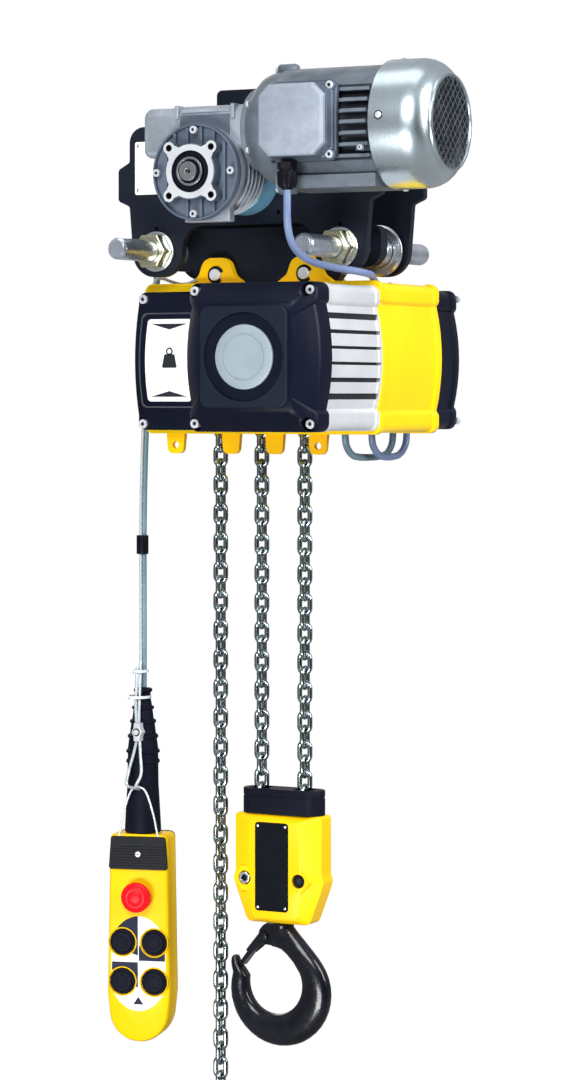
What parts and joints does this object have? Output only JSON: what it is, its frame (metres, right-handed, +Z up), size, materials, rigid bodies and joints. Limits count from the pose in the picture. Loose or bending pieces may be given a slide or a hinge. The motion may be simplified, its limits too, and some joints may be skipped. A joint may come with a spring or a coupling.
{
  "type": "electric chain hoist",
  "caption": "Electric chain hoist on a motor-driven beam trolley, with a two-fall bottom block and hook, slack chain and a hanging pendant control.",
  "frame": {"origin": "middle of the trolley on the plane where its four wheels stand on the beam's lower flange", "axes": "+X along the beam, towards the travel motor; +Y across the beam, away from the drive side; +Z up"},
  "size_m": [0.6221, 0.5238, 1.4485],
  "materials": {
    "black_steel": "satin powder coat",
    "zinc_steel": "bright zinc plate",
    "turned_steel": "turned, oiled",
    "bronze": "machined",
    "cast_aluminium": "die cast, fine grain",
    "bright_aluminium": "satin",
    "yellow_enamel": "gloss enamel",
    "black_cover": "fine texture",
    "forged_black": "gloss over forged scale",
    "yellow_plastic": "moulded gloss",
    "black_rubber": "moulded",
    "red_plastic": "moulded gloss",
    "cable_grey": "smooth PVC sheath"
  },
  "bodies": {
    "trolley": {"side_plate_front": "black_steel", "crossbar_left": "zinc_steel", "crossbar_right": "zinc_steel", "nut_front_left": "zinc_steel", "nut_front_right": "zinc_steel", "suspension_plate": "black_steel", "suspension_pin_left": "zinc_steel", "suspension_pin_right": "zinc_steel", "gearbox_housing": "cast_aluminium", "gearbox_cover": "cast_aluminium", "travel_motor_housing": "cast_aluminium", "terminal_box": "cast_aluminium", "terminal_lid": "bright_aluminium", "travel_gland": "black_cover", "fan_cover": "zinc_steel", "hoist_frame": "yellow_enamel", "label_cover": "black_cover", "badge_cover": "black_cover", "cover_badge": "bright_aluminium", "hoist_motor_housing": "bright_aluminium", "rear_cap": "black_cover", "gland_plate": "black_cover", "slack_strand": "zinc_steel", "load_strand": "zinc_steel", "dead_end_strand": "zinc_steel", "chain_stop": "black_cover", "travel_cable": "cable_grey", "pendant_cable": "cable_grey", "strain_wire": "zinc_steel"},
    "rear_carriage": {"side_plate_rear": "black_steel", "nut_rear_left": "zinc_steel", "nut_rear_right": "zinc_steel"},
    "front_wheel_left": {"wheel_front_left": "turned_steel"},
    "front_wheel_right": {"wheel_front_right": "turned_steel"},
    "rear_wheel_left": {"wheel_rear_left": "turned_steel"},
    "rear_wheel_right": {"wheel_rear_right": "turned_steel"},
    "drive_shaft": {"output_shaft": "turned_steel", "worm_wheel": "bronze"},
    "travel_spindle": {"worm_shaft": "turned_steel", "travel_rotor": "turned_steel", "cooling_fan": "black_cover"},
    "sheave": {"load_sheave": "turned_steel"},
    "intermediate_shaft": {"intermediate_gear": "turned_steel"},
    "hoist_spindle": {"hoist_rotor": "turned_steel"},
    "bottom_block": {"block_casing_front": "yellow_enamel", "block_casing_rear": "yellow_enamel", "chain_buffer": "black_rubber"},
    "lower_sheave": {"block_sheave": "turned_steel"},
    "load_hook": {"hook": "forged_black"},
    "safety_latch": {"hook_latch": "turned_steel"},
    "pendant": {"pendant_shell": "yellow_plastic", "pendant_back": "black_cover", "pendant_top_plate": "black_cover", "pendant_boot": "black_rubber"},
    "estop_plunger": {"estop_stem": "black_cover"},
    "estop_head": {"emergency_stop": "red_plastic"},
    "key_up": {"button_up": "black_rubber"},
    "key_down": {"button_down": "black_rubber"},
    "key_left": {"button_left": "black_rubber"},
    "key_right": {"button_right": "black_rubber"}
  },
  "joints": [
    {"name": "gauge_adjust", "type": "slide", "parent": "trolley", "child": "rear_carriage", "axis": [0, 1, 0], "range_m": [-0.008, 0.03]},
    {"name": "front_wheel_left_spin", "type": "hinge", "parent": "trolley", "child": "front_wheel_left", "pos_m": [-0.066, -0.05, 0.0315], "axis": [0, 1, 0], "continuous": true},
    {"name": "front_wheel_right_spin", "type": "hinge", "parent": "trolley", "child": "front_wheel_right", "pos_m": [0.066, -0.05, 0.0315], "axis": [0, 1, 0], "continuous": true},
    {"name": "rear_wheel_left_spin", "type": "hinge", "parent": "rear_carriage", "child": "rear_wheel_left", "pos_m": [-0.066, 0.05, 0.0315], "axis": [0, 1, 0], "continuous": true},
    {"name": "rear_wheel_right_spin", "type": "hinge", "parent": "rear_carriage", "child": "rear_wheel_right", "pos_m": [0.066, 0.05, 0.0315], "axis": [0, 1, 0], "continuous": true},
    {"name": "output_spin", "type": "hinge", "parent": "trolley", "child": "drive_shaft", "pos_m": [0, -0.168, 0.0315], "axis": [0, 1, 0], "continuous": true},
    {"name": "travel_motor_spin", "type": "hinge", "parent": "trolley", "child": "travel_spindle", "pos_m": [0.15, -0.168, 0.0885], "axis": [1, 0, 0], "continuous": true},
    {"name": "lift", "type": "slide", "parent": "trolley", "child": "bottom_block", "axis": [0, 0, 1], "range_m": [0, 0.42], "deforming": ["load_strand", "dead_end_strand"]},
    {"name": "sheave_spin", "type": "hinge", "parent": "trolley", "child": "sheave", "pos_m": [-0.0485, 0, -0.216], "axis": [0, 1, 0], "continuous": true},
    {"name": "intermediate_spin", "type": "hinge", "parent": "trolley", "child": "intermediate_shaft", "pos_m": [0.0255, 0.05, -0.216], "axis": [0, 1, 0], "continuous": true},
    {"name": "hoist_motor_spin", "type": "hinge", "parent": "trolley", "child": "hoist_spindle", "pos_m": [0.0915, -0.1, -0.216], "axis": [0, 1, 0], "continuous": true},
    {"name": "lower_sheave_spin", "type": "hinge", "parent": "bottom_block", "child": "lower_sheave", "pos_m": [0.0177, 0, -0.895], "axis": [0, 1, 0], "continuous": true},
    {"name": "hook_swivel", "type": "hinge", "parent": "bottom_block", "child": "load_hook", "pos_m": [0.0177, 0, -0.97], "axis": [0, 0, 1], "continuous": true},
    {"name": "latch_hinge", "type": "hinge", "parent": "load_hook", "child": "safety_latch", "pos_m": [-0.0093, 0, -1.021], "axis": [0, -1, 0], "range_deg": [0, 38], "stiffness_Nm_per_rad": 0.06, "springref_deg": -34.38},
    {"name": "pendant_swing", "type": "hinge", "parent": "trolley", "child": "pendant", "pos_m": [-0.205, 0.03, -0.14], "axis": [0, 1, 0], "range_deg": [-4, 12]},
    {"name": "estop_push", "type": "slide", "parent": "pendant", "child": "estop_plunger", "axis": [-0.2588, 0.9659, 0], "range_m": [0, 0.005]},
    {"name": "estop_twist", "type": "hinge", "parent": "estop_plunger", "child": "estop_head", "pos_m": [-0.21035, -0.01547, -0.981], "axis": [-0.2588, 0.9659, 0], "range_deg": [0, 40], "stiffness_Nm_per_rad": 0.08, "springref_deg": -5.73},
    {"name": "up_press", "type": "slide", "parent": "pendant", "child": "key_up", "axis": [-0.2588, 0.9659, 0], "range_m": [0, 0.004], "stiffness_N_per_m": 900, "springref_m": -0.001},
    {"name": "down_press", "type": "slide", "parent": "pendant", "child": "key_down", "axis": [-0.2588, 0.9659, 0], "range_m": [0, 0.004], "stiffness_N_per_m": 900, "springref_m": -0.001},
    {"name": "left_press", "type": "slide", "parent": "pendant", "child": "key_left", "axis": [-0.2588, 0.9659, 0], "range_m": [0, 0.004], "stiffness_N_per_m": 900, "springref_m": -0.001},
    {"name": "right_press", "type": "slide", "parent": "pendant", "child": "key_right", "axis": [-0.2588, 0.9659, 0], "range_m": [0, 0.004], "stiffness_N_per_m": 900, "springref_m": -0.001}
  ],
  "couplings": [
    {"joint": "front_wheel_left_spin", "follows": "output_spin", "ratio": -0.5},
    {"joint": "front_wheel_right_spin", "follows": "output_spin", "ratio": -0.5},
    {"joint": "travel_motor_spin", "follows": "output_spin", "ratio": 30},
    {"joint": "sheave_spin", "follows": "lift", "rad_per_m": -61.35},
    {"joint": "intermediate_spin", "follows": "lift", "rad_per_m": 190.87},
    {"joint": "hoist_motor_spin", "follows": "lift", "rad_per_m": -742.26},
    {"joint": "lower_sheave_spin", "follows": "lift", "rad_per_m": 29.674}
  ]
}
